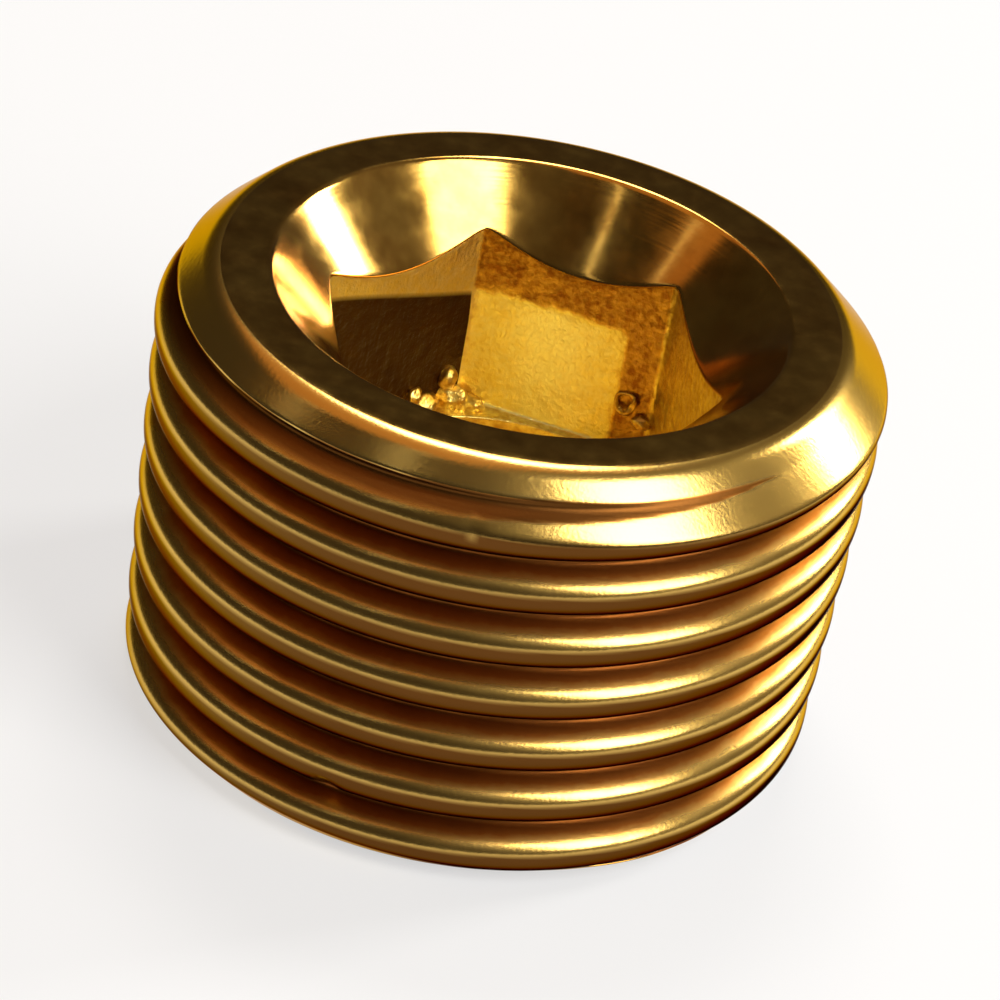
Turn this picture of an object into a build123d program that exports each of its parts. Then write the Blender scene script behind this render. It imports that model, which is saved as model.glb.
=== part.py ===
from build123d import *
import math
import os

# Pipe plug turned from one brass bar, with a taper pipe thread over its whole length and a blind
# hexagon socket in its large end. Millimetres. The small end stands on Z = 0, the axis is Z, the
# socket opens upwards and two of the socket's flats face +Y and -Y.

# Body
LENGTH = 13.5
TOP_CHAMFER = 1.5
END_CHAMFER = 0.7

# Right-hand taper pipe thread, half inch, 14 threads to the inch
THREADS_PER_INCH = 14
GAUGE_DIAMETER = 20.955
GAUGE_LENGTH = 8.164
TAPER_ON_DIAMETER = 1 / 16
FLANK_ANGLE = 27.5
CREST_WIDTH = 0.5
ROOT_WIDTH = 0.3
GROOVE_START_HEIGHT = 0.38

# Socket for a hexagon key, broached over a drilled hole and countersunk
KEY_SIZE = 10.0
KEY_CLEARANCE = 0.3
SOCKET_DEPTH = 7.5
MOUTH_DIAMETER = 15.0
MOUTH_ANGLE = 90.0
DRILL_DIAMETER = 9.8
DRILL_RUN_ON = 0.8
DRILL_POINT_ANGLE = 118.0

# Sizes that follow from those above
INCH = 25.4
PITCH = INCH / THREADS_PER_INCH
TAPER_ANGLE = math.degrees(math.atan(TAPER_ON_DIAMETER / 2))
FLANK_SLOPE = math.tan(math.radians(FLANK_ANGLE))
THREAD_DEPTH = (PITCH - CREST_WIDTH - ROOT_WIDTH) / (2 * FLANK_SLOPE)
SOCKET_ACROSS_FLATS = KEY_SIZE + KEY_CLEARANCE
SOCKET_FLOOR = LENGTH - SOCKET_DEPTH


def crest_radius(height):
    """Radius over the thread's crests at a height above the small end."""
    return GAUGE_DIAMETER / 2 + (height - GAUGE_LENGTH) * TAPER_ON_DIAMETER / 2


def turned_blank():
    """The tapered bar, chamfered at both ends, before it is threaded."""
    rings = []
    for height in (0, LENGTH / 2, LENGTH):
        rings.append((Pos(0, 0, height) * Circle(crest_radius(height))).face())
    bar = loft(rings)
    bar = chamfer(bar.edges().group_by(Axis.Z)[-1], TOP_CHAMFER)
    return chamfer(bar.edges().group_by(Axis.Z)[0], END_CHAMFER)


def thread_groove():
    """The helical groove between the crests, run on past both ends of the bar."""
    start = GROOVE_START_HEIGHT - 2 * PITCH
    end = LENGTH + PITCH
    root_radius = crest_radius(start) - THREAD_DEPTH
    # The flanks run on outside the bar by half of what is left of the crest, so that neighbouring
    # turns of the groove stay apart.
    overrun = CREST_WIDTH / 4 / FLANK_SLOPE
    mouth_radius = root_radius + THREAD_DEPTH + overrun
    mouth_half = ROOT_WIDTH / 2 + (THREAD_DEPTH + overrun) * FLANK_SLOPE
    section = Polyline(
        (root_radius, start - ROOT_WIDTH / 2),
        (mouth_radius, start - mouth_half),
        (mouth_radius, start + mouth_half),
        (root_radius, start + ROOT_WIDTH / 2),
        close=True,
    )
    path = Helix(
        PITCH / math.cos(math.radians(TAPER_ANGLE)),
        end - start,
        root_radius,
        center=(0, 0, start),
        cone_angle=TAPER_ANGLE,
    )
    return sweep(Plane.XZ * make_face(section), path=path, is_frenet=True)


def socket_hollow():
    """What the drill, the broach and the countersink take out of the large end."""
    flats = RegularPolygon(SOCKET_ACROSS_FLATS / 2, 6, major_radius=False, rotation=0)
    broached = Pos(0, 0, SOCKET_FLOOR) * extrude(flats, SOCKET_DEPTH)
    drill_radius = DRILL_DIAMETER / 2
    drill_shoulder = SOCKET_FLOOR - DRILL_RUN_ON
    drill_point = drill_radius / math.tan(math.radians(DRILL_POINT_ANGLE / 2))
    drilled = Polyline(
        (0, drill_shoulder - drill_point),
        (drill_radius, drill_shoulder),
        (drill_radius, LENGTH),
        (0, LENGTH),
        close=True,
    )
    mouth_radius = MOUTH_DIAMETER / 2
    mouth_depth = mouth_radius / math.tan(math.radians(MOUTH_ANGLE / 2))
    countersunk = Polyline(
        (0, LENGTH - mouth_depth),
        (mouth_radius, LENGTH),
        (0, LENGTH),
        close=True,
    )
    hole = revolve(Plane.XZ * make_face(drilled), Axis.Z)
    mouth = revolve(Plane.XZ * make_face(countersunk), Axis.Z)
    return broached + hole + mouth


def pipe_plug():
    """The finished plug."""
    return turned_blank() - socket_hollow() - thread_groove()


os.makedirs("parts", exist_ok=True)
plug = pipe_plug()
export_step(plug, "parts/plug.step")
print("plug", round(plug.volume, 1), "mm3, thread depth", round(THREAD_DEPTH, 3))
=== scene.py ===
"""Looks of a brass taper pipe plug: a turned, threaded and broached visual body in the CAD part's frame.

The plug is made in the order in which the real one is: its outline is drawn and spun as on a lathe, the
taper thread is cut into it, the hexagon socket is broached, and the dents, tarnish, painted shade and
painted highlights are added. Lengths are in metres.
"""

import logging
import math
from dataclasses import dataclass, field
from enum import IntEnum

import bpy
import numpy as np
from mathutils import Matrix, Vector


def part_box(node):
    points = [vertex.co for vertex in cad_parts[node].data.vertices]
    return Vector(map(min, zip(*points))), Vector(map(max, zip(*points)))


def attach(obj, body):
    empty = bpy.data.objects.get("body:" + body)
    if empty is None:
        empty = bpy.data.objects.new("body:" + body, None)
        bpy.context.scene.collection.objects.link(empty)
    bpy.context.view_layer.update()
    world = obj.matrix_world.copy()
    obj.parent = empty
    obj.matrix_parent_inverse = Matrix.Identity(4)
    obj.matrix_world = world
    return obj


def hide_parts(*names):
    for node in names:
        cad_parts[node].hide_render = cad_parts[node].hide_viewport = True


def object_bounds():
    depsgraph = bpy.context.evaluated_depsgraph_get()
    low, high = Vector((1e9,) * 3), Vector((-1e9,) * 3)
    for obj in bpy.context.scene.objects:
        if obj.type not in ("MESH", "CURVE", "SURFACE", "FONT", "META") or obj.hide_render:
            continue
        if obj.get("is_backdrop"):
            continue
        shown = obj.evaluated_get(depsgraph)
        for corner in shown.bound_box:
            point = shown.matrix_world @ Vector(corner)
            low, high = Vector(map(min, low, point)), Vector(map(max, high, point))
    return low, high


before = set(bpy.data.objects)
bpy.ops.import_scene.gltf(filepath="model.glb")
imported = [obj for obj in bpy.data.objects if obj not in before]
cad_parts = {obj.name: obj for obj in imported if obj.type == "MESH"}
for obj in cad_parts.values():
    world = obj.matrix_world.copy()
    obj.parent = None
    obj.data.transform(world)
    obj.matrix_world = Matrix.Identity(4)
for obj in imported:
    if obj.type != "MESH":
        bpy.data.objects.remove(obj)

MM = 0.001
NODE = "plug"
BODY = "root"
HALF_WALL = 30.0
WHITE = (1.0, 1.0, 1.0, 1.0)

logging.basicConfig(level=logging.INFO, format="%(message)s")
LOG = logging.getLogger("plug")


def linear(code: str) -> tuple[float, float, float, float]:
    """Turns a screen colour into the linear one that shaders use.

    Args:
        code: The colour as #RRGGBB.

    Returns:
        Linear red, green and blue, and an alpha of one.
    """
    values = [int(code[i : i + 2], 16) / 255 for i in (1, 3, 5)]
    red, green, blue = (v / 12.92 if v <= 0.04045 else ((v + 0.055) / 1.055) ** 2.4 for v in values)
    return red, green, blue, 1.0


def soft_min(a: np.ndarray, b: np.ndarray, blend: float) -> np.ndarray:
    """The lesser of two heights, with the corner between them rounded.

    Args:
        a: First heights.
        b: Second heights.
        blend: About the width of the rounded corner.

    Returns:
        The blended heights.
    """
    return (a + b - np.sqrt((a - b) ** 2 + blend**2)) / 2


def ramp(value: np.ndarray, start: float, width: float) -> np.ndarray:
    """A straight rise from 0 to 1, held at both ends.

    Args:
        value: What the rise follows.
        start: Where it leaves 0.
        width: How far on it reaches 1.

    Returns:
        The rise at each value.
    """
    return np.clip((value - start) / width, 0.0, 1.0)


def note(mesh: bpy.types.Mesh, name: str, values: np.ndarray) -> None:
    """Keeps a number for each vertex, for the materials.

    Args:
        mesh: The mesh.
        name: The attribute's name.
        values: The numbers.
    """
    mesh.attributes.new(name, "FLOAT", "POINT").data.foreach_set("value", values)


def direction(azimuth: float, elevation: float) -> Vector:
    """A unit vector toward a place in the studio.

    Args:
        azimuth: Degrees round the axis from +X.
        elevation: Degrees above the floor.

    Returns:
        The vector.
    """
    a, e = math.radians(azimuth), math.radians(elevation)
    return Vector((math.cos(a) * math.cos(e), math.sin(a) * math.cos(e), math.sin(e)))


def only(obj: bpy.types.Object) -> None:
    """Makes an object the one selected and active object.

    Args:
        obj: The object to work on.
    """
    bpy.ops.object.select_all(action="DESELECT")
    obj.select_set(True)
    bpy.context.view_layer.objects.active = obj


class Zone(IntEnum):
    """Runs of the plug's outline, from the middle of the small end to the drill's point."""

    END_FACE = 0
    END_CHAMFER = 1
    THREAD = 2
    TOP_CHAMFER = 3
    TOP_FACE = 4
    MOUTH = 5
    WALL = 6
    LEDGE = 7
    DRILL = 8
    POINT = 9


class Surface(IntEnum):
    """Material slots of the plug."""

    THREADED = 0
    TURNED = 1
    BROACHED = 2


SURFACE_OF_ZONE: dict[Zone, Surface] = {
    Zone.END_FACE: Surface.TURNED,
    Zone.END_CHAMFER: Surface.THREADED,
    Zone.THREAD: Surface.THREADED,
    Zone.TOP_CHAMFER: Surface.THREADED,
    Zone.TOP_FACE: Surface.TURNED,
    Zone.MOUTH: Surface.TURNED,
    Zone.WALL: Surface.BROACHED,
    Zone.LEDGE: Surface.BROACHED,
    Zone.DRILL: Surface.BROACHED,
    Zone.POINT: Surface.BROACHED,
}


@dataclass
class Skin:
    """Where the vertices of the plug lie: the angle from +X, the radius, the height and the zone of each."""

    azimuth: np.ndarray
    radius: np.ndarray
    height: np.ndarray
    zone: np.ndarray

    @property
    def outside(self) -> np.ndarray:
        """Which vertices are on the threaded outside.

        Returns:
            True from one chamfer to the other.
        """
        return (self.zone >= Zone.END_CHAMFER) & (self.zone <= Zone.TOP_CHAMFER)

    def off(self, bearing: float) -> np.ndarray:
        """Angles of the vertices from a bearing.

        Args:
            bearing: Degrees round the axis from +X.

        Returns:
            Degrees from -180 to 180.
        """
        return np.mod(np.degrees(self.azimuth) - bearing + 180, 360) - 180

    def on_wall(self, bearing: float, corners: bool = False) -> np.ndarray:
        """Which vertices are on one wall of the socket.

        Args:
            bearing: Where the middle of the wall lies, in degrees from +X.
            corners: Whether the wall's two corner lines count.

        Returns:
            True on that wall.
        """
        off = np.abs(self.off(bearing))
        within = off <= HALF_WALL if corners else off < HALF_WALL
        return within & (self.zone == Zone.WALL)


@dataclass(frozen=True)
class Corner:
    """A corner of the lathe outline and the run that leads to it."""

    radius: float
    height: float
    zone: Zone
    step: float
    edge: float = 0.0

    @property
    def place(self) -> np.ndarray:
        """The corner's radius and height.

        Returns:
            The pair as an array.
        """
        return np.array((self.radius, self.height))


@dataclass(frozen=True)
class TaperThread:
    """Right-hand taper pipe thread, half inch, with rounded crests and roots."""

    pitch: float = 25.4 / 14 * MM
    gauge_radius: float = 20.955 / 2 * MM
    gauge_height: float = 8.164 * MM
    taper: float = 1 / 32
    flank_angle: float = 27.5
    crest_curve: float = 0.62 * MM
    root_curve: float = 0.14 * MM
    groove_height: float = 0.38 * MM
    # Painted shade on the lower side of each crest: where it starts and how fast it rises, and the side where
    # less is painted so that side looks lit.
    shade_start: float = -0.43
    shade_ramp: float = 0.22
    lit_side: float = 200.0
    lit_share: float = 0.45

    @property
    def depth(self) -> float:
        """Depth from the crests to the roots, with the flanks as tangents of both curves.

        Returns:
            The depth.
        """
        half = math.radians(self.flank_angle)
        lost = (self.crest_curve + self.root_curve) * (1 / math.sin(half) - 1)
        return self.pitch / 2 / math.tan(half) - lost

    def crest_radius(self, height: np.ndarray | float) -> np.ndarray | float:
        """Radius over the crests.

        Args:
            height: Height above the small end.

        Returns:
            The crest radius at that height.
        """
        return self.gauge_radius + (height - self.gauge_height) * self.taper

    def above_root(self, skin: Skin) -> np.ndarray:
        """How far each vertex lies above the nearest root, along the axis.

        Args:
            skin: The vertices.

        Returns:
            The distances, below 0 where the root is higher.
        """
        turn = (skin.height - self.groove_height) / self.pitch - skin.azimuth / (2 * math.pi)
        return (turn - np.round(turn)) * self.pitch

    def groove_depth(self, skin: Skin) -> np.ndarray:
        """How far the surface lies below the crests.

        Args:
            skin: The vertices.

        Returns:
            The depths, 0 along the middle of a crest.
        """
        from_root = np.abs(self.above_root(skin))
        from_crest = self.pitch / 2 - from_root
        half = math.radians(self.flank_angle)
        crest_end = self.crest_curve * math.cos(half)
        crest = self.crest_curve - np.sqrt(self.crest_curve**2 - np.minimum(from_crest, crest_end) ** 2)
        flank = (from_crest - crest_end) / math.tan(half)
        root_end = self.root_curve * math.cos(half)
        rise = np.sqrt(self.root_curve**2 - np.minimum(from_root, root_end) ** 2)
        root = self.depth - self.root_curve + rise
        return np.where(from_root < root_end, root, crest + np.maximum(flank, 0.0))

    def underside(self, skin: Skin) -> np.ndarray:
        """Which vertices lie on the lower side of a crest, where shade is painted, with less of it toward one
        side.

        Args:
            skin: The vertices.

        Returns:
            0 on the upper side of a crest, 1 on its lower side.
        """
        above = self.above_root(skin)
        from_crest = (self.pitch / 2 - np.abs(above)) * np.sign(above)
        lower = ramp(from_crest / self.crest_curve, self.shade_start, self.shade_ramp)
        # Painted light: toward one side of the plug less shade is painted under the crests.
        painted_light = np.maximum(np.cos(skin.azimuth - math.radians(self.lit_side)), 0.0)
        return lower * (1.0 - self.lit_share * painted_light**4)


@dataclass(frozen=True)
class HexSocket:
    """Hexagon socket broached over a drilled hole, with a countersunk mouth."""

    across_flats: float = 10.5 * MM
    depth: float = 7.5 * MM
    mouth_radius: float = 7.5 * MM
    drill_radius: float = 4.9 * MM
    drill_run_on: float = 0.8 * MM
    drill_point_angle: float = 118.0
    corner_rounding: float = 0.22 * MM

    @property
    def inner(self) -> float:
        """Radius of the circle inside the flats.

        Returns:
            Half of the size across the flats.
        """
        return self.across_flats / 2

    @property
    def point(self) -> float:
        """Height of the drill's point.

        Returns:
            The height of the cone that the drill leaves.
        """
        return self.drill_radius / math.tan(math.radians(self.drill_point_angle / 2))

    def reach(self, azimuth: np.ndarray) -> np.ndarray:
        """How far the hexagon reaches outside the circle inside its flats.

        Args:
            azimuth: Angles round the axis, from +X. Two flats face +Y and -Y.

        Returns:
            The extra radius, 0 in the middle of a flat.
        """
        sixth = math.pi / 3
        off = np.mod(azimuth, sixth) - sixth / 2
        near = self.inner / np.cos(off)
        far = self.inner / np.cos(sixth - np.abs(off))
        return soft_min(near, far, self.corner_rounding) - self.inner


@dataclass(frozen=True)
class SocketTarnishAndLight:
    """Tarnish in the socket, with a painted highlight and painted shade on one wall and a painted shadow low
    on another.
    """

    # Painted light on the bright wall: a lit patch below a line and beside a side edge, a painted highlight
    # down its middle, and painted shade over the rest.
    bright_wall: float = 90.0
    bright_line: float = 10.0 * MM
    bright_side: float = -1.9 * MM
    bright_soft: float = 0.15 * MM
    glint_middle: float = 0.4 * MM
    glint_width: float = 1.3 * MM
    # Painted shadow on another wall, below a sloping line, with painted light above it.
    shaded_wall: float = 150.0
    shadow_line: float = 10.4 * MM
    shadow_slope: float = 0.7 * MM
    shadow_soft: float = 2.0 * MM
    # Levels of the tarnish value: painted highlight, painted light on the shadowed wall, plain tarnish on the
    # other walls, painted shade.
    painted_light: float = -0.8
    strip_light: float = -0.2
    dull: float = 0.15
    brown: float = 0.75

    def tarnish_and_light(self, skin: Skin, inner: float) -> np.ndarray:
        """How tarnished the socket is, and where light and shade are painted on it.

        Args:
            skin: The vertices.
            inner: Radius of the circle inside the socket's flats.

        Returns:
            Below 0 where a highlight is painted on a wall, and 0.75 where shade is painted on it.
        """
        turn = np.clip(skin.off(self.bright_wall), -HALF_WALL, HALF_WALL)
        along = inner * np.tan(np.radians(turn))
        low = ramp(self.bright_line - skin.height, 0.0, self.bright_soft)
        # Painted light and shade on the bright wall.
        lit_patch = low * ramp(along, self.bright_side, self.bright_soft)
        painted_light = np.exp(-(((along - self.glint_middle) / self.glint_width) ** 2)) * lit_patch
        light_and_shade = self.brown * (1.0 - lit_patch) + self.painted_light * painted_light
        other = np.where(skin.on_wall(self.shaded_wall), self.strip_light, self.dull)
        return np.where(skin.on_wall(self.bright_wall, corners=True), light_and_shade, other)

    def wall_shadow(self, skin: Skin) -> np.ndarray:
        """Where a dark shadow is painted on one wall.

        Args:
            skin: The vertices.

        Returns:
            0.5 along the shadow's edge on its wall, more below the edge, 0 on the other walls.
        """
        # Painted shadow below a sloping line on one wall.
        line = self.shadow_line + self.shadow_slope * skin.off(self.shaded_wall) / HALF_WALL
        below = ramp(line - skin.height, -self.shadow_soft / 2, self.shadow_soft)
        return np.where(skin.on_wall(self.shaded_wall), below, 0.0)


@dataclass(frozen=True)
class Dent:
    """A small knock in the thread."""

    azimuth: float
    height: float
    depth: float
    width: float
    tall: float

    def press(self, skin: Skin) -> np.ndarray:
        """How far the knock pushes the surface in.

        Args:
            skin: The vertices.

        Returns:
            The loss of radius.
        """
        across = np.radians(skin.off(self.azimuth)) * skin.radius / self.width
        up = (skin.height - self.height) / self.tall
        return self.depth * np.exp(-(across**2) - up**2)


class Graph:
    """The node tree of a material or of the world, with one short way to add to it."""

    PLACES: dict[str, int] = {"first": 0, "second": 1, "third": 2, "color_a": 6, "color_b": 7}

    def __init__(self, owner: bpy.types.ID) -> None:
        """Starts an empty tree.

        Args:
            owner: The new material or world.
        """
        owner.use_nodes = True
        self.owner = owner
        self.tree = owner.node_tree
        self.tree.nodes.clear()

    def add(self, kind: str, settings: dict | None = None, **inputs: object) -> bpy.types.Node:
        """Adds a node and joins or sets its inputs.

        Args:
            kind: The node's type name.
            settings: Properties of the node.
            **inputs: Values or output sockets, by a place or by the input's name with _ for a space.

        Returns:
            The new node.
        """
        node = self.tree.nodes.new(kind)
        for key, value in (settings or {}).items():
            setattr(node, key, value)
        for key, value in inputs.items():
            socket = node.inputs[self.PLACES.get(key, key.replace("_", " "))]
            if isinstance(value, bpy.types.NodeSocket):
                self.tree.links.new(value, socket)
            else:
                socket.default_value = value
        return node

    def attribute(self, name: str) -> bpy.types.NodeSocket:
        """Reads a number that the mesh keeps for each vertex.

        Args:
            name: The attribute's name.

        Returns:
            The number's socket.
        """
        return self.add("ShaderNodeAttribute", {"attribute_name": name}).outputs["Fac"]

    def math(self, operation: str, a: object, b: object = 0.0) -> bpy.types.NodeSocket:
        """Adds a math node.

        Args:
            operation: The operation's name.
            a: First value or socket.
            b: Second value or socket.

        Returns:
            The result's socket.
        """
        return self.add("ShaderNodeMath", {"operation": operation}, first=a, second=b).outputs[0]

    def mix(self, factor: object, a: object, b: object) -> bpy.types.NodeSocket:
        """Mixes two colours.

        Args:
            factor: 0 for the first colour, 1 for the second.
            a: First colour or socket.
            b: Second colour or socket.

        Returns:
            The result's socket.
        """
        return self.add("ShaderNodeMix", {"data_type": "RGBA"}, first=factor, color_a=a, color_b=b).outputs[2]

    def span(
        self, value: object, low: float, high: float, to_low: float = 0.0, to_high: float = 1.0
    ) -> bpy.types.NodeSocket:
        """Maps a range of values to another, with both ends held.

        Args:
            value: The socket to map.
            low: Start of the range.
            high: End of the range.
            to_low: What the start becomes.
            to_high: What the end becomes.

        Returns:
            The result's socket.
        """
        limits = {"From_Min": low, "From_Max": high, "To_Min": to_low, "To_Max": to_high}
        return self.add("ShaderNodeMapRange", Value=value, **limits).outputs[0]

    def noise(
        self, vector: object, per_mm: float, detail: float = 3.0, roughness: float = 0.5
    ) -> bpy.types.NodeSocket:
        """Adds a noise pattern.

        Args:
            vector: Coordinates in metres.
            per_mm: Features to a millimetre.
            detail: Octaves.
            roughness: How strong the finer octaves are.

        Returns:
            The noise value's socket.
        """
        settings = {"Scale": per_mm / MM, "Detail": detail, "Roughness": roughness}
        return self.add("ShaderNodeTexNoise", Vector=vector, **settings).outputs["Fac"]

    def finish(
        self, color: object, roughness: object, bump: object, bump_height: float, edge: object = WHITE
    ) -> bpy.types.Material:
        """Adds the metal shader and the output.

        Args:
            color: Base colour or socket.
            roughness: Roughness or socket.
            bump: Height pattern's socket, 0 to 1.
            bump_height: What 1 of the pattern stands for.
            edge: Tint of what is seen at a flat angle.

        Returns:
            The material.
        """
        normal = self.add("ShaderNodeBump", Height=bump, Strength=1.0, Distance=bump_height).outputs["Normal"]
        shader = self.add(
            "ShaderNodeBsdfPrincipled",
            Base_Color=color,
            Metallic=1.0,
            Roughness=roughness,
            Specular_Tint=edge,
            Normal=normal,
        )
        self.add("ShaderNodeOutputMaterial", Surface=shader.outputs[0])
        return self.owner


@dataclass(frozen=True)
class ThreadFinish:
    """Cut thread: bright crests, with painted shade that darkens the flanks and roots and the lower side of
    each crest.
    """

    crest: str = "#E2B962"
    flank: str = "#B46E2C"
    root: str = "#8A4E1E"
    # Colour of the painted shade on the lower side of each crest.
    under_shade: str = "#66401A"
    crest_roughness: float = 0.22
    root_roughness: float = 0.40
    blotch_per_mm: float = 0.6
    grain_per_mm: float = 9.0
    grain_height: float = 0.004 * MM

    def material(self) -> bpy.types.Material:
        """Makes the material.

        Returns:
            The material for the threaded surface.
        """
        # Threaded brass: gold lines along the crests, with painted shade that is brown between them and dark
        # below each crest.
        g = Graph(bpy.data.materials.new("brass_threaded"))
        place = g.add("ShaderNodeTexCoord").outputs["Object"]
        hollow = g.attribute("hollow")
        blotch = g.noise(place, self.blotch_per_mm, 4.0, 0.6)
        depth = g.math("ADD", hollow, g.span(blotch, 0.3, 0.7, -0.12, 0.12))
        under = g.attribute("under")
        # Painted shade: the colour darkens from crest to flank to root, and again below each crest.
        color = g.mix(g.span(depth, 0.2, 0.6), linear(self.crest), linear(self.flank))
        color = g.mix(g.span(depth, 0.55, 0.95), color, linear(self.root))
        color = g.mix(under, color, linear(self.under_shade))
        rough = g.span(depth, 0.1, 0.9, self.crest_roughness, self.root_roughness)
        grain = g.noise(place, self.grain_per_mm)
        return g.finish(color, rough, grain, self.grain_height, edge=color)


@dataclass(frozen=True)
class TurnedFinish:
    """Lathe-turned faces: mirror-like brass with fine rings round the axis and a thin brown tarnish."""

    bright: str = "#DDAF55"
    tarnish: str = "#A8742C"
    roughness: float = 0.13
    rings_per_mm: float = 14.0
    rings_height: float = 0.0015 * MM
    blotch_per_mm: float = 0.5
    haze_per_mm: float = 1.5

    def material(self) -> bpy.types.Material:
        """Makes the material.

        Returns:
            The material for the turned faces.
        """
        # Turned brass: sharp streaks of light that run down the mouth's cone, over a faint brown cloud.
        g = Graph(bpy.data.materials.new("brass_turned"))
        place = g.add("ShaderNodeTexCoord").outputs["Object"]
        axes = g.add("ShaderNodeSeparateXYZ", Vector=place)
        flat = g.add("ShaderNodeCombineXYZ", X=axes.outputs["X"], Y=axes.outputs["Y"]).outputs[0]
        radius = g.add("ShaderNodeVectorMath", {"operation": "LENGTH"}, first=flat).outputs["Value"]
        ring = g.add("ShaderNodeCombineXYZ", X=radius).outputs[0]
        rings = g.noise(ring, self.rings_per_mm, 2.0)
        blotch = g.noise(place, self.blotch_per_mm, 4.0, 0.6)
        color = g.mix(g.span(blotch, 0.35, 0.7, 0.0, 0.8), linear(self.bright), linear(self.tarnish))
        haze = g.noise(place, self.haze_per_mm)
        rough = g.span(haze, 0.3, 0.7, self.roughness * 0.8, self.roughness * 1.3)
        return g.finish(color, rough, rings, self.rings_height)


@dataclass(frozen=True)
class BroachedFinish:
    """Broached walls: torn, lumpy yellow brass with drag lines down the flats, a painted highlight and
    painted shade on one wall and a painted shadow on another.
    """

    # Colours from the painted highlight through bright and tarnished brass to the painted shade's brown, and
    # the painted shadow's near-black.
    glint: str = "#FFF6B4"
    bright: str = "#FFEA84"
    tarnish: str = "#D2A446"
    brown: str = "#8E5A20"
    wall_shadow: str = "#3E1E08"
    glint_roughness: float = 0.29
    clean_roughness: float = 0.38
    brown_roughness: float = 0.30
    line_stretch: float = 0.15
    lines_per_mm: float = 6.0
    lumps_per_mm: float = 2.2
    grain_per_mm: float = 5.0
    lump_height: float = 0.08 * MM

    def material(self) -> bpy.types.Material:
        """Makes the material.

        Returns:
            The material for the socket.
        """
        # Broached brass: warm yellow and grainy, with a painted highlight and painted shade on one wall and a
        # painted near-black shadow on another.
        g = Graph(bpy.data.materials.new("brass_broached"))
        place = g.add("ShaderNodeTexCoord").outputs["Object"]
        tarnish_and_light = g.attribute("tarnish_and_light")
        drawn = g.add("ShaderNodeMapping", Vector=place, Scale=(1.0, 1.0, self.line_stretch)).outputs[0]
        lines = g.noise(drawn, self.lines_per_mm)
        lumps = g.noise(place, self.lumps_per_mm, 4.0, 0.62)
        grain = g.noise(place, self.grain_per_mm, 2.0)
        tone_level = g.math("ADD", tarnish_and_light, g.span(lumps, 0.3, 0.7, -0.15, 0.15))
        tone_level = g.math("ADD", tone_level, g.span(grain, 0.35, 0.65, -0.12, 0.12))
        color = g.mix(g.span(tone_level, -0.8, 0.0), linear(self.glint), linear(self.bright))
        color = g.mix(g.span(tone_level, 0.0, 0.45), color, linear(self.tarnish))
        color = g.mix(g.span(tone_level, 0.45, 0.9), color, linear(self.brown))
        wall_shadow = g.attribute("wall_shadow")
        # Painted shadow low on one wall.
        color = g.mix(g.span(wall_shadow, 0.45, 0.55, 0.0, 0.97), color, linear(self.wall_shadow))
        rough = g.span(tarnish_and_light, 0.0, 0.45, self.clean_roughness, self.brown_roughness)
        smoother = self.glint_roughness - self.clean_roughness
        rough = g.math("ADD", rough, g.span(tarnish_and_light, -0.8, 0.0, smoother, 0.0))
        height = g.math("ADD", g.math("MULTIPLY", lines, 0.3), lumps)
        return g.finish(color, rough, height, self.lump_height)


@dataclass(frozen=True)
class Crumb:
    """A crumb of brass that the broach pushed ahead of it."""

    place: tuple[float, float, float]
    size: tuple[float, float, float]


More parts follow.
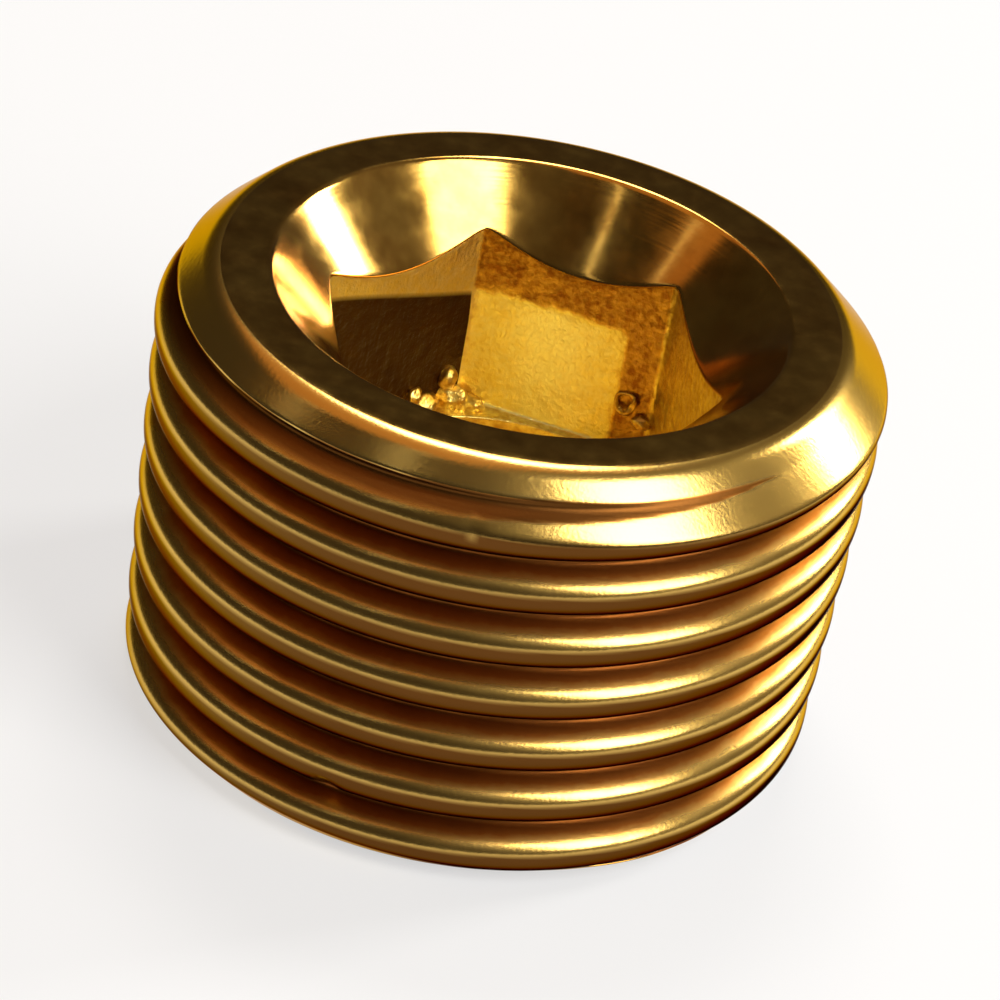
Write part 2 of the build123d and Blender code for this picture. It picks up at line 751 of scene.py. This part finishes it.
@dataclass
class BroachingChips:
    """The curl and the crumbs that the broach left stuck in the socket."""

    curl_place: tuple[float, float, float] = (2.15 * MM, 5.14 * MM, 7.65 * MM)
    curl_radius: float = 0.30 * MM
    curl_thickness: float = 0.11 * MM
    curl_turn: tuple[float, float, float] = (math.radians(70), 0.0, math.radians(-12))
    raggedness: float = 0.35 * MM
    tarnish_and_light: float = 0.35
    crumbs: tuple[Crumb, ...] = (
        Crumb((-3.15 * MM, 4.80 * MM, 6.10 * MM), (0.70 * MM, 0.45 * MM, 0.55 * MM)),
        Crumb((-3.75 * MM, 4.00 * MM, 6.20 * MM), (0.55 * MM, 0.60 * MM, 0.42 * MM)),
        Crumb((-3.25 * MM, 4.70 * MM, 6.85 * MM), (0.30 * MM, 0.34 * MM, 0.42 * MM)),
        Crumb((-2.55 * MM, 4.95 * MM, 6.05 * MM), (0.55 * MM, 0.35 * MM, 0.30 * MM)),
        Crumb((-3.90 * MM, 3.60 * MM, 6.60 * MM), (0.24 * MM, 0.30 * MM, 0.26 * MM)),
        Crumb((2.75 * MM, 5.10 * MM, 7.15 * MM), (0.30 * MM, 0.20 * MM, 0.22 * MM)),
    )

    def build(self) -> bpy.types.Object:
        """Makes the chips.

        Returns:
            The curl and the crumbs as one piece.
        """
        bpy.ops.object.select_all(action="DESELECT")
        bpy.ops.mesh.primitive_torus_add(
            major_segments=32,
            minor_segments=12,
            major_radius=self.curl_radius,
            minor_radius=self.curl_thickness,
            location=self.curl_place,
            rotation=self.curl_turn,
        )
        pieces = [bpy.context.object]
        for crumb in self.crumbs:
            bpy.ops.mesh.primitive_ico_sphere_add(
                subdivisions=4, radius=1.0, location=crumb.place, scale=crumb.size
            )
            pieces.append(bpy.context.object)
        for seed, piece in enumerate(pieces):
            only(piece)
            bpy.ops.object.transform_apply(location=True, rotation=True, scale=True)
            bpy.ops.object.mode_set(mode="EDIT")
            bpy.ops.mesh.select_all(action="SELECT")
            bpy.ops.transform.vertex_random(offset=self.raggedness, seed=seed)
            bpy.ops.mesh.vertices_smooth(factor=0.5, repeat=8)
            bpy.ops.object.mode_set(mode="OBJECT")
        only(pieces[0])
        for piece in pieces:
            piece.select_set(True)
        bpy.ops.object.join()
        chips = bpy.context.object
        chips.name = chips.data.name = "broaching_chips"
        note(chips.data, "tarnish_and_light", np.full(len(chips.data.vertices), self.tarnish_and_light))
        bpy.ops.object.shade_smooth()
        return chips

    def dress(self, chips: bpy.types.Object, finish: bpy.types.Material) -> None:
        """Gives the chips the socket's finish and puts them in the frame.

        Args:
            chips: The chips.
            finish: The socket's finish.
        """
        chips.data.materials.clear()
        chips.data.materials.append(finish)
        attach(chips, BODY)


@dataclass
class PipePlug:
    """The plug's body, turned, threaded and broached."""

    length: float
    top_chamfer: float = 1.5 * MM
    end_chamfer: float = 0.7 * MM
    columns: int = 288
    edge_blend: float = 0.06 * MM
    # Where the painted shade in the last groove below the top chamfer begins, how soft its edge is, and how
    # strong it is.
    last_groove: float = 2.8 * MM
    last_groove_soft: float = 0.8 * MM
    last_groove_shade: float = 0.9
    thread: TaperThread = field(default_factory=TaperThread)
    socket: HexSocket = field(default_factory=HexSocket)
    socket_marks: SocketTarnishAndLight = field(default_factory=SocketTarnishAndLight)
    dents: tuple[Dent, ...] = (
        Dent(-78.8, 12.06 * MM, 0.06 * MM, 0.22 * MM, 0.35 * MM),
        Dent(-94.9, 2.22 * MM, 0.18 * MM, 0.25 * MM, 0.20 * MM),
    )

    @property
    def floor(self) -> float:
        """Height of the socket's floor.

        Returns:
            The height above the small end.
        """
        return self.length - self.socket.depth

    @property
    def brim(self) -> float:
        """Height at which the mouth's cone meets the middle of each flat.

        Returns:
            The height above the small end.
        """
        return self.length - self.socket.mouth_radius + self.socket.inner

    def outline(self) -> tuple[np.ndarray, np.ndarray]:
        """Draws half of the turned blank's section.

        Returns:
            Points of radius and height from the middle of the small end to the drill's point, and the
            zone of each.
        """
        socket = self.socket
        shoulder = self.floor - socket.drill_run_on
        end_radius = self.thread.crest_radius(self.end_chamfer)
        top_radius = self.thread.crest_radius(self.length - self.top_chamfer)
        corners = (
            Corner(0.0, 0.0, Zone.END_FACE, 1.0 * MM),
            Corner(end_radius - self.end_chamfer, 0.0, Zone.END_FACE, 1.0 * MM, 0.10 * MM),
            Corner(end_radius, self.end_chamfer, Zone.END_CHAMFER, 0.10 * MM, 0.10 * MM),
            Corner(top_radius, self.length - self.top_chamfer, Zone.THREAD, 0.07 * MM, 0.16 * MM),
            Corner(top_radius - self.top_chamfer, self.length, Zone.TOP_CHAMFER, 0.085 * MM, 0.35 * MM),
            Corner(socket.mouth_radius, self.length, Zone.TOP_FACE, 0.14 * MM, 0.10 * MM),
            Corner(socket.inner, self.brim, Zone.MOUTH, 0.11 * MM, 0.08 * MM),
            Corner(socket.inner, self.floor, Zone.WALL, 0.18 * MM, 0.12 * MM),
            Corner(socket.drill_radius, self.floor, Zone.LEDGE, 0.05 * MM, 0.04 * MM),
            Corner(socket.drill_radius, shoulder, Zone.DRILL, 0.2 * MM, 0.10 * MM),
            Corner(0.0, shoulder - socket.point, Zone.POINT, 0.5 * MM),
        )
        points: list[np.ndarray] = [corners[0].place]
        zones: list[Zone] = [corners[0].zone]
        for corner, after in zip(corners[1:], corners[2:] + (None,)):
            run = corner.place - points[-1]
            far = np.linalg.norm(run)
            toward = run / far
            straight = far - corner.edge
            count = max(1, round(straight / corner.step))
            start = points[-1]
            for i in range(1, count + 1):
                points.append(start + toward * straight * i / count)
                zones.append(corner.zone)
            if after is None or corner.edge == 0.0:
                continue
            away = after.place - corner.place
            away = away / np.linalg.norm(away)
            first, last = points[-1], corner.place + away * corner.edge
            for t, zone in ((0.25, corner.zone), (0.5, corner.zone), (0.75, after.zone), (1.0, after.zone)):
                points.append((1 - t) ** 2 * first + 2 * t * (1 - t) * corner.place + t**2 * last)
                zones.append(zone)
        return np.array(points), np.array(zones, dtype=np.int32)

    def turn(self) -> bpy.types.Object:
        """Draws the outline point by point and spins it into the blank.

        Returns:
            The blank, with each vertex's zone in its attribute.
        """
        points, zones = self.outline()
        bpy.ops.object.select_all(action="DESELECT")
        bpy.ops.mesh.primitive_plane_add(size=MM, location=(0.0, 0.0, 0.0))
        blank = bpy.context.object
        blank.name = blank.data.name = "plug_body"
        bpy.ops.object.mode_set(mode="EDIT")
        bpy.ops.mesh.select_all(action="SELECT")
        bpy.ops.mesh.merge(type="CENTER")
        for step in np.diff(points, axis=0):
            move = (float(step[0]), 0.0, float(step[1]))
            bpy.ops.mesh.extrude_vertices_move(TRANSFORM_OT_translate={"value": move})
        bpy.ops.object.mode_set(mode="OBJECT")
        blank.data.attributes.new("zone", "INT", "POINT").data.foreach_set("value", zones)
        bpy.ops.object.mode_set(mode="EDIT")
        bpy.ops.mesh.select_all(action="SELECT")
        bpy.ops.mesh.spin(
            steps=self.columns,
            angle=2 * math.pi,
            use_auto_merge=True,
            center=(0.0, 0.0, 0.0),
            axis=(0.0, 0.0, 1.0),
        )
        bpy.ops.mesh.select_all(action="SELECT")
        bpy.ops.mesh.remove_doubles(threshold=0.001 * MM)
        bpy.ops.mesh.normals_make_consistent(inside=False)
        bpy.ops.object.mode_set(mode="OBJECT")
        return blank

    def cut(self, skin: Skin) -> np.ndarray:
        """Cuts the thread into the outside of the blank.

        Args:
            skin: The vertices.

        Returns:
            The new radii.
        """
        radius = skin.radius
        depth = self.thread.groove_depth(skin)
        threaded = self.thread.crest_radius(skin.height) - depth
        for dent in self.dents:
            threaded = threaded - dent.press(skin)
        outer = soft_min(radius, threaded, self.edge_blend)
        # The groove also runs out through the edge of the small end, easing off toward its middle.
        on_end = skin.zone == Zone.END_FACE
        rim = radius[on_end].max()
        end_crest = self.thread.crest_radius(0.0)
        loss = rim - soft_min(np.full_like(radius, rim), end_crest - depth, self.edge_blend)
        ease = ramp(radius, 0.75 * rim, 0.25 * rim)
        return np.where(skin.outside, outer, np.where(on_end, radius - loss * ease, radius))

    def broach(self, skin: Skin) -> tuple[np.ndarray, np.ndarray]:
        """Opens the round hole of the blank to the hexagon.

        Args:
            skin: The vertices.

        Returns:
            The new radii and heights.
        """
        socket, zone = self.socket, skin.zone
        reach = socket.reach(skin.azimuth)
        down_cone = ramp(socket.mouth_radius - skin.radius, 0.0, socket.mouth_radius - socket.inner)
        up_wall = ramp(skin.height, self.floor, self.brim - self.floor)
        in_ledge = ramp(skin.radius, socket.drill_radius, socket.inner - socket.drill_radius)
        out = np.select(
            [zone == Zone.MOUTH, zone == Zone.WALL, zone == Zone.LEDGE],
            [reach * down_cone, reach * in_ledge, reach * in_ledge],
            0.0,
        )
        up = np.select([zone == Zone.MOUTH, zone == Zone.WALL], [reach * down_cone, reach * up_wall], 0.0)
        return skin.radius + out, skin.height + up

    def threaded(self, skin: Skin) -> np.ndarray:
        """Which vertices lie on the thread, and not on what the chamfers left of the blank.

        Args:
            skin: The vertices.

        Returns:
            1 on the thread, 0 elsewhere.
        """
        above = self.thread.crest_radius(skin.height) - self.thread.groove_depth(skin) - skin.radius
        return np.where(skin.outside, np.clip(1.6 - above / self.edge_blend, 0.0, 1.0), 0.0)

    def soil(self, mesh: bpy.types.Mesh, skin: Skin) -> None:
        """Notes how deep in the groove each vertex lies, and where the tarnish, painted shade, painted shadow
        and painted highlights lie.

        Args:
            mesh: The body's mesh.
            skin: The vertices.
        """
        threaded = self.threaded(skin)
        hollow = self.thread.groove_depth(skin) / self.thread.depth * threaded
        # Painted shade in the last groove below the top chamfer.
        near_top = ramp(skin.height, self.length - self.last_groove, self.last_groove_soft)
        last = self.last_groove_shade * near_top * ramp(hollow, 0.2, 0.3)
        under = np.maximum(self.thread.underside(skin) * threaded, last)
        note(mesh, "hollow", hollow)
        note(mesh, "under", under)
        note(mesh, "tarnish_and_light", self.socket_marks.tarnish_and_light(skin, self.socket.inner))
        note(mesh, "wall_shadow", self.socket_marks.wall_shadow(skin))

    def build(self) -> bpy.types.Object:
        """Makes the plug.

        Returns:
            The finished body.
        """
        body = self.turn()
        mesh = body.data
        place = np.empty(len(mesh.vertices) * 3)
        mesh.vertices.foreach_get("co", place)
        place = place.reshape(-1, 3)
        zone = np.empty(len(mesh.vertices), dtype=np.int32)
        mesh.attributes["zone"].data.foreach_get("value", zone)
        skin = Skin(
            azimuth=np.arctan2(place[:, 1], place[:, 0]),
            radius=np.hypot(place[:, 0], place[:, 1]),
            height=place[:, 2],
            zone=zone,
        )
        skin.radius = self.cut(skin)
        skin.radius, skin.height = self.broach(skin)
        across = skin.radius * np.cos(skin.azimuth)
        along = skin.radius * np.sin(skin.azimuth)
        mesh.vertices.foreach_set("co", np.column_stack((across, along, skin.height)).ravel())
        self.soil(mesh, skin)
        self.assign(mesh, zone)
        mesh.update()
        only(body)
        bpy.ops.object.shade_smooth()
        return body

    def assign(self, mesh: bpy.types.Mesh, zone: np.ndarray) -> None:
        """Gives each face the material slot of its zone.

        Args:
            mesh: The body's mesh.
            zone: Zones of the vertices.
        """
        first = np.empty(len(mesh.polygons), dtype=np.int32)
        mesh.polygons.foreach_get("loop_start", first)
        corner = np.empty(len(mesh.loops), dtype=np.int32)
        mesh.loops.foreach_get("vertex_index", corner)
        surface = np.array([SURFACE_OF_ZONE[z] for z in Zone], dtype=np.int32)
        for _ in Surface:
            mesh.materials.append(None)
        mesh.polygons.foreach_set("material_index", surface[zone[corner[first]]])

    def dress(self, body: bpy.types.Object) -> None:
        """Gives the body its finishes and puts it in the frame.

        Args:
            body: The plug's body.
        """
        body.data.materials[Surface.THREADED] = ThreadFinish().material()
        body.data.materials[Surface.TURNED] = TurnedFinish().material()
        body.data.materials[Surface.BROACHED] = BroachedFinish().material()
        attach(body, BODY)
        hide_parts(NODE)


@dataclass(frozen=True)
class SoftBox:
    """A rectangular lamp, placed by the direction that its light comes from."""

    name: str
    azimuth: float
    elevation: float
    distance: float
    width: float
    height: float
    brightness: float
    color: str = "#FFFFFF"

    def build(self, target: Vector) -> bpy.types.Object:
        """Makes the lamp.

        Args:
            target: The point that it faces.

        Returns:
            The lamp.
        """
        toward = direction(self.azimuth, self.elevation)
        bpy.ops.object.light_add(type="AREA", location=target + toward * self.distance)
        lamp = bpy.context.object
        lamp.name = self.name
        lamp.rotation_euler = toward.to_track_quat("Z", "Y").to_euler()
        lamp.data.shape = "RECTANGLE"
        lamp.data.size = self.width
        lamp.data.size_y = self.height
        lamp.data.color = linear(self.color)[:3]
        lamp.data.energy = self.brightness * math.pi * self.width * self.height
        return lamp


@dataclass
class Studio:
    """Pale floor, soft lamps in a dim room, and a camera with a long lens."""

    view_azimuth: float = 283.5
    view_elevation: float = 33.0
    roll: float = 10.5
    distance: float = 137.0 * MM
    lens: float = 169.3
    target: Vector = field(default_factory=lambda: Vector((0.0, 0.0, 6.75 * MM)))
    offset: tuple[float, float] = (0.09 * MM, -0.36 * MM)
    floor_color: str = "#DEDEDC"
    floor_white: float = 0.6
    room_color: str = "#FFEBD2"
    room: float = 0.045
    glow: float = 0.16

    def build_floor(self) -> bpy.types.Object:
        """Makes the floor.

        Returns:
            The floor.
        """
        bpy.ops.object.select_all(action="DESELECT")
        bpy.ops.mesh.primitive_plane_add(size=3.0, location=(0.0, 0.0, 0.0))
        floor = bpy.context.object
        floor.name = "floor"
        # Matt white card. Eye and metal see it washed toward white, and the plug's shadow stays on it.
        g = Graph(bpy.data.materials.new("white_card"))
        card = g.add("ShaderNodeBsdfPrincipled", Base_Color=linear(self.floor_color), Roughness=0.9)
        white = g.add("ShaderNodeEmission", Strength=1.0)
        path = g.add("ShaderNodeLightPath").outputs
        seen = g.math("MAXIMUM", path["Is Camera Ray"], path["Is Glossy Ray"])
        seen = g.math("MAXIMUM", seen, path["Is Transmission Ray"])
        washed = g.add(
            "ShaderNodeMixShader",
            first=g.math("MULTIPLY", seen, self.floor_white),
            second=card.outputs[0],
            third=white.outputs[0],
        )
        g.add("ShaderNodeOutputMaterial", Surface=washed.outputs[0])
        floor.data.materials.append(g.owner)
        floor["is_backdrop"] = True
        return floor

    def build_lights(self) -> None:
        """Makes the lamps, and the room round them."""
        ahead = self.view_azimuth
        # Bearing and height of each lamp, its distance, width and height, and its brightness.
        lamps = (
            SoftBox("key_window", ahead + 54, 41, 0.45, 0.22, 0.34, 8.5),
            SoftBox("side_window", ahead + 123, 24, 0.45, 0.09, 0.18, 24.0),
            SoftBox("back_light", ahead + 186, 62, 0.45, 0.16, 0.16, 10.0),
            SoftBox("ceiling", ahead - 120, 70, 0.45, 0.45, 0.45, 0.50, "#FFB877"),
            SoftBox("door_gap", ahead - 41, 54, 0.45, 0.012, 0.16, 2.2),
            SoftBox("shelf_gap", ahead - 82, 41, 0.45, 0.010, 0.12, 1.6),
        )
        for lamp in lamps:
            lamp.build(self.target)
        self.build_room(direction(ahead + 85, 40))

    def build_room(self, windows: Vector) -> None:
        """Makes the dim room, brighter on the side of the windows.

        Args:
            windows: Direction of the windows.
        """
        g = Graph(bpy.data.worlds.new("dim_room"))
        around = g.add("ShaderNodeTexCoord").outputs["Generated"]
        facing = g.add("ShaderNodeVectorMath", {"operation": "DOT_PRODUCT"}, first=around, second=windows)
        glow = g.add(
            "ShaderNodeMapRange",
            {"interpolation_type": "SMOOTHSTEP"},
            Value=facing.outputs["Value"],
            From_Min=0.2,
            From_Max=1.0,
            To_Min=self.room,
            To_Max=self.glow,
        )
        room = g.add("ShaderNodeBackground", Color=linear(self.room_color), Strength=glow.outputs[0])
        g.add("ShaderNodeOutputWorld", Surface=room.outputs[0])
        bpy.context.scene.world = g.owner

    def build_camera(self) -> bpy.types.Object:
        """Makes the camera.

        Returns:
            The camera.
        """
        back = direction(self.view_azimuth, self.view_elevation)
        right = Vector((0.0, 0.0, 1.0)).cross(back).normalized()
        up = back.cross(right)
        tilt = math.radians(self.roll)
        side = right * math.cos(tilt) + up * math.sin(tilt)
        top = up * math.cos(tilt) - right * math.sin(tilt)
        bpy.ops.object.camera_add()
        camera = bpy.context.object
        turn = Matrix((side, top, back)).transposed().to_4x4()
        middle = self.target + side * self.offset[0] + top * self.offset[1]
        camera.matrix_world = Matrix.Translation(middle + back * self.distance) @ turn
        camera.data.lens = self.lens
        camera.data.sensor_width = 36.0
        camera.data.clip_start = 0.01
        camera.data.clip_end = 10.0
        bpy.context.scene.camera = camera
        return camera

    def build(self) -> None:
        """Makes the studio."""
        self.build_floor()
        self.build_lights()
        self.build_camera()
        bpy.context.scene.view_settings.view_transform = "Standard"


def corners() -> list[list[float]]:
    """The shown object's box.

    Returns:
        Its lowest and highest corner.
    """
    return [[float(v) for v in corner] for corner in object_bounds()]


def main() -> None:
    """Builds the plug and the studio, and logs each piece's face count."""
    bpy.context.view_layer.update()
    low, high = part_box(NODE)
    plug = PipePlug(length=high.z - low.z)
    body = plug.build()
    plug.dress(body)
    swarf = BroachingChips()
    chips = swarf.build()
    swarf.dress(chips, body.data.materials[Surface.BROACHED])
    Studio().build()
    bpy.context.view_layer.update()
    for piece in (body, chips):
        LOG.info("%s: %d faces", piece.name, len(piece.data.polygons))


if __name__ == "__main__":
    main()
